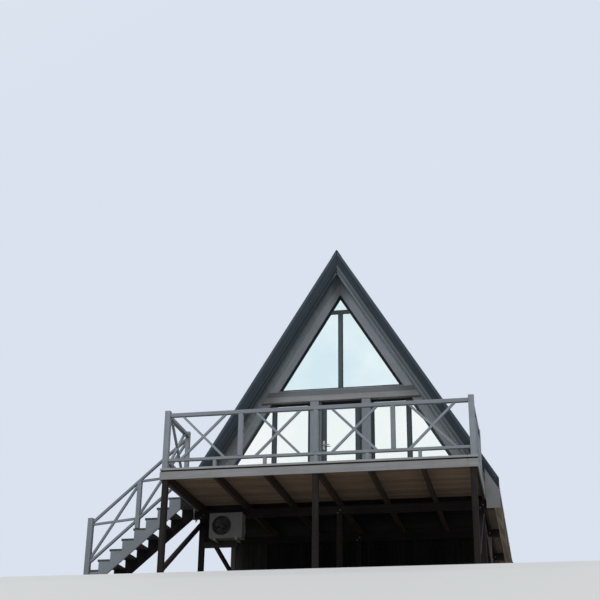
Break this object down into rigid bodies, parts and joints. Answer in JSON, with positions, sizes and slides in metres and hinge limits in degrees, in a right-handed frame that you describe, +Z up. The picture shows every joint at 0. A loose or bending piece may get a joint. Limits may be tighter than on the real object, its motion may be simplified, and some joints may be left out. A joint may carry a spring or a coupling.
{
  "type": "a-frame cabin",
  "caption": "Timber A-frame cabin on legs with a railed front deck, side stair, glazed gable, hinged glass door and a roof down to floor level.",
  "frame": {"origin": "centre of the foot of the front row's middle leg, on the ground under the cabin's middle line", "axes": "+X to the right seen from the front, +Y from the deck towards the back of the cabin, +Z up"},
  "size_m": [7.765, 10.31, 6.9937],
  "materials": {
    "roof_metal": "satin, profiled roof sheet, dark blue-grey",
    "dark_paint": "dark slate paint on boards",
    "grey_paint": "mid grey paint on timber",
    "light_paint": "light grey paint on timber",
    "bare_boards": "unpainted softwood, weathered",
    "dark_timber": "dark stained timber",
    "inner_boards": "clear softwood lining",
    "black_frame": "matt black window frame",
    "window_glass": "clear double glazing",
    "unit_white": "off-white powder coat",
    "unit_dark": "dark moulded plastic",
    "steel": "brushed steel"
  },
  "bodies": {
    "cabin": {"front_legs": "dark_timber", "house_legs": "bare_boards", "leg_braces": "dark_timber", "store_wall": "dark_timber", "cross_beams": "dark_timber", "floor_joists": "bare_boards", "wall_plates": "bare_boards", "deck_boards": "bare_boards", "cabin_floor": "inner_boards", "deck_fascia": "light_paint", "rafters": "bare_boards", "roof_boarding": "bare_boards", "left_roof_sheet": "roof_metal", "right_roof_sheet": "roof_metal", "roof_lining": "inner_boards", "ridge_cap": "roof_metal", "verge_boards": "dark_paint", "eave_end_boards": "light_paint", "loft_ties": "inner_boards", "loft_floor": "inner_boards", "front_rake_boards": "grey_paint", "front_lower_beam": "light_paint", "front_upper_beam": "grey_paint", "door_posts": "grey_paint", "loft_window_frame": "black_frame", "loft_window_glass": "window_glass", "front_window_frames": "black_frame", "front_window_glass": "window_glass", "door_frame": "black_frame", "hinge_pins": "steel", "rear_gable_frame": "grey_paint", "rear_wall": "grey_paint", "rear_window_frames": "black_frame", "rear_window_glass": "window_glass", "rail_posts": "light_paint", "front_rail": "light_paint", "left_rail": "light_paint", "right_rail": "light_paint", "stair_stringers": "light_paint", "stair_treads": "bare_boards", "stair_railing": "light_paint", "unit_backing": "dark_timber", "unit_housing": "unit_white", "unit_fan": "unit_dark", "unit_guard": "unit_dark", "unit_brackets": "steel"},
    "door": {"door_leaf": "black_frame", "door_glass": "window_glass", "door_handle": "steel", "hinge_knuckles": "steel"}
  },
  "joints": [
    {"name": "door_hinge", "type": "hinge", "parent": "cabin", "child": "door", "pos_m": [0.3875, 2.732, 2.86], "axis": [0, 0, -1], "range_deg": [0, 95]}
  ]
}
